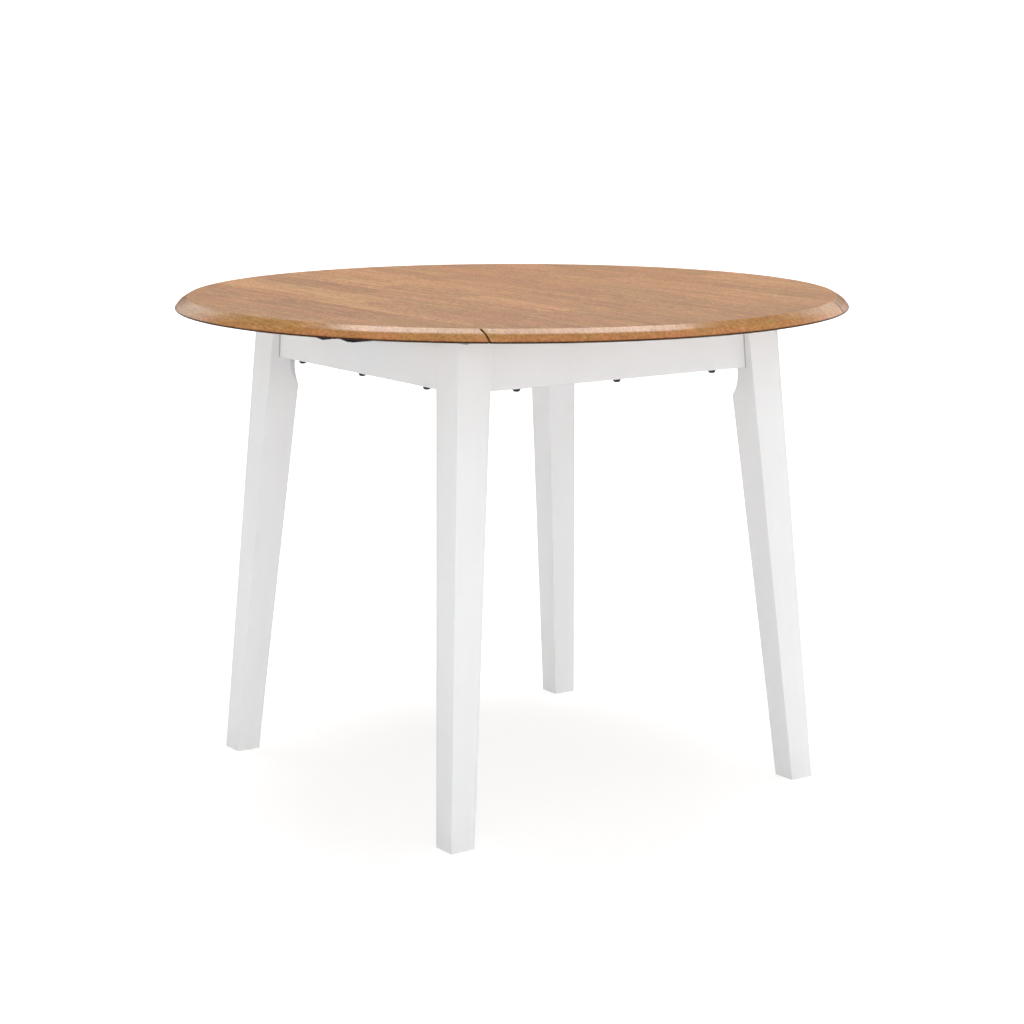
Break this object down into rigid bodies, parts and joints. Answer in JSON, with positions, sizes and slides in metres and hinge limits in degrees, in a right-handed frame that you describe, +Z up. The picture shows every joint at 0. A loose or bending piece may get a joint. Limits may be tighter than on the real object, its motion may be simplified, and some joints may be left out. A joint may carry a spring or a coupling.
{
  "type": "drop-leaf table",
  "caption": "Round drop-leaf dining table: half-moon leaves fold down beside a fixed centre panel, on splayed square legs joined by aprons.",
  "frame": {"origin": "floor level under the middle of the round top", "axes": "+Z up; +Y along the two seams and the boards' grain; +X across the seams, towards the right leaf"},
  "size_m": [1.0598, 1.0598, 0.77],
  "materials": {
    "oiled_oak": "honey-coloured staves under a satin lacquer",
    "white_paint": "satin white paint on solid wood",
    "zinc_steel": "bright zinc plate",
    "black_steel": "black powder coat",
    "dark_bolts": "dark oxide, satin",
    "brass": "plain"
  },
  "bodies": {
    "frame": {"centre_panel": "oiled_oak", "front_left_leg": "white_paint", "front_right_leg": "white_paint", "back_left_leg": "white_paint", "back_right_leg": "white_paint", "front_apron": "white_paint", "back_apron": "white_paint", "left_apron": "white_paint", "right_apron": "white_paint", "front_left_corner_bracket": "zinc_steel", "front_right_corner_bracket": "zinc_steel", "back_left_corner_bracket": "zinc_steel", "back_right_corner_bracket": "zinc_steel", "corner_bracket_screws": "zinc_steel", "hanger_bolts": "zinc_steel", "hanger_washers": "zinc_steel", "hanger_nuts": "zinc_steel", "top_bolts": "dark_bolts", "threaded_inserts": "brass", "left_hinge_fixed_plates": "zinc_steel", "left_hinge_pins": "zinc_steel", "left_hinge_fixed_screws": "zinc_steel", "right_hinge_fixed_plates": "zinc_steel", "right_hinge_pins": "zinc_steel", "right_hinge_fixed_screws": "zinc_steel", "left_support_bracket": "black_steel", "left_support_pin": "black_steel", "left_support_screws": "black_steel", "right_support_bracket": "black_steel", "right_support_pin": "black_steel", "right_support_screws": "black_steel"},
    "left_drop_leaf": {"left_leaf": "oiled_oak", "left_hinge_leaf_plates": "zinc_steel", "left_hinge_leaf_screws": "zinc_steel"},
    "right_drop_leaf": {"right_leaf": "oiled_oak", "right_hinge_leaf_plates": "zinc_steel", "right_hinge_leaf_screws": "zinc_steel"},
    "left_arm": {"left_support_arm": "black_steel"},
    "right_arm": {"right_support_arm": "black_steel"}
  },
  "joints": [
    {"name": "left_leaf_fold", "type": "hinge", "parent": "frame", "child": "left_drop_leaf", "pos_m": [-0.3245, 0, 0.7472], "axis": [0, -1, 0], "range_deg": [0, 90]},
    {"name": "right_leaf_fold", "type": "hinge", "parent": "frame", "child": "right_drop_leaf", "pos_m": [0.3245, 0, 0.7472], "axis": [0, 1, 0], "range_deg": [0, 90]},
    {"name": "left_arm_fold", "type": "hinge", "parent": "frame", "child": "left_arm", "pos_m": [-0.305, 0, 0.733], "axis": [0, -1, 0], "range_deg": [0, 90]},
    {"name": "right_arm_fold", "type": "hinge", "parent": "frame", "child": "right_arm", "pos_m": [0.305, 0, 0.733], "axis": [0, 1, 0], "range_deg": [0, 90]}
  ],
  "couplings": [
    {"joint": "left_arm_fold", "follows": "left_leaf_fold", "ratio": 1},
    {"joint": "right_arm_fold", "follows": "right_leaf_fold", "ratio": 1}
  ]
}
